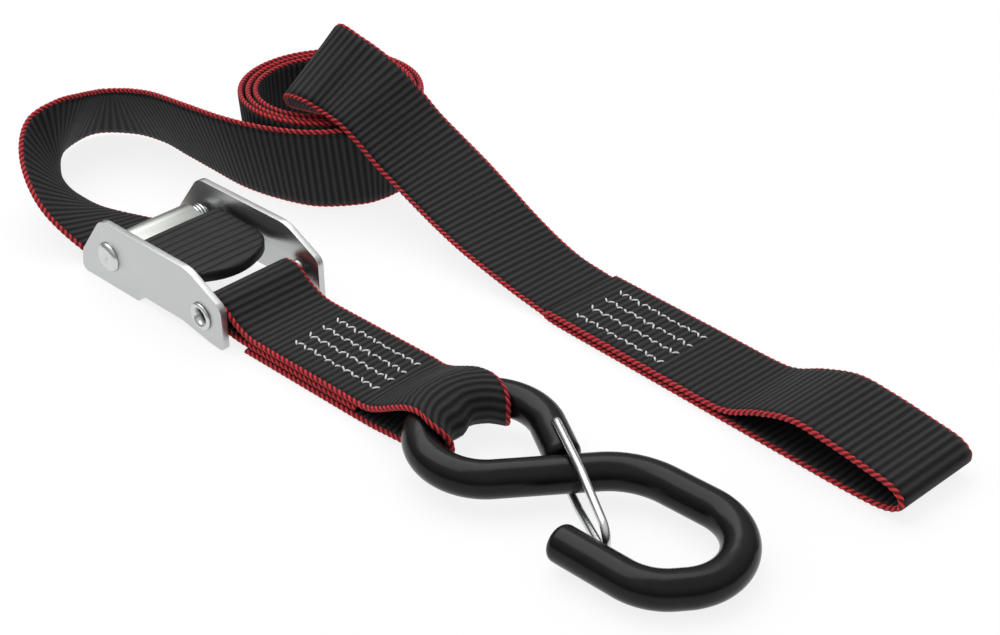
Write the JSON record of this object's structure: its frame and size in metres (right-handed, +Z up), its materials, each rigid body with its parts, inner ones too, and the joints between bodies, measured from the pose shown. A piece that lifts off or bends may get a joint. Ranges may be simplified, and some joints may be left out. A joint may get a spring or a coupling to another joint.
{
  "type": "cam buckle tie-down strap",
  "caption": "Webbing tie-down with a spring cam buckle, a coated S-hook with wire keeper on short webbing, and a long webbing with a sewn soft loop, laid out partly rolled.",
  "frame": {"origin": "bottom centre of the whole part, on the surface it lies on", "axes": "+Z up, +X along the longest extent, +Y away from the hook"},
  "size_m": [0.2295, 0.2137, 0.0458],
  "materials": {
    "webbing": "black polyester webbing with red twisted edge",
    "thread": "white sewing thread",
    "zinc_plate": "bright zinc plate",
    "rivet_steel": "bright zinc plate",
    "spring_wire": "stainless wire",
    "pad_plastic": "charcoal ribbed grip",
    "hook_steel": "plain steel, inside the coating",
    "vinyl": "glossy black dipped vinyl"
  },
  "bodies": {
    "buckle": {"buckle_frame": "zinc_plate", "cam_pin": "rivet_steel", "anchor_pin": "rivet_steel", "hook_webbing": "webbing", "hook_stitching": "thread"},
    "cam": {"cam_lever": "zinc_plate", "thumb_pad": "pad_plastic", "cam_spring": "spring_wire"},
    "hook": {"s_hook": "hook_steel", "hook_coating": "vinyl"},
    "keeper": {"keeper_gate": "spring_wire"},
    "strap": {"long_strap_slot": "webbing", "long_strap_tail": "webbing", "long_strap_roll": "webbing", "long_strap_bend": "webbing", "long_strap_run": "webbing", "long_strap_loop": "webbing", "loop_stitching": "thread"}
  },
  "joints": [
    {"name": "cam_hinge", "type": "hinge", "parent": "buckle", "child": "cam", "pos_m": [-0.07349, 0.02913, 0.0084], "axis": [0.6871, 0.7266, 0], "range_deg": [0, 16], "stiffness_Nm_per_rad": 0.6, "springref_deg": -20.05},
    {"name": "hook_swivel", "type": "hinge", "parent": "buckle", "child": "hook", "pos_m": [0.01049, -0.05681, 0.00748], "axis": [0.0064, -0.0555, 0.9984], "range_deg": [-8, 20]},
    {"name": "keeper_hinge", "type": "hinge", "parent": "hook", "child": "keeper", "pos_m": [0.02462, -0.05538, 0.00747], "axis": [0.0064, -0.0555, 0.9984], "range_deg": [0, 27], "stiffness_Nm_per_rad": 0.05, "springref_deg": -11.46},
    {"name": "strap_slide", "type": "slide", "parent": "buckle", "child": "strap", "axis": [-0.7266, 0.6871, 0], "range_m": [0, 0.025]}
  ]
}
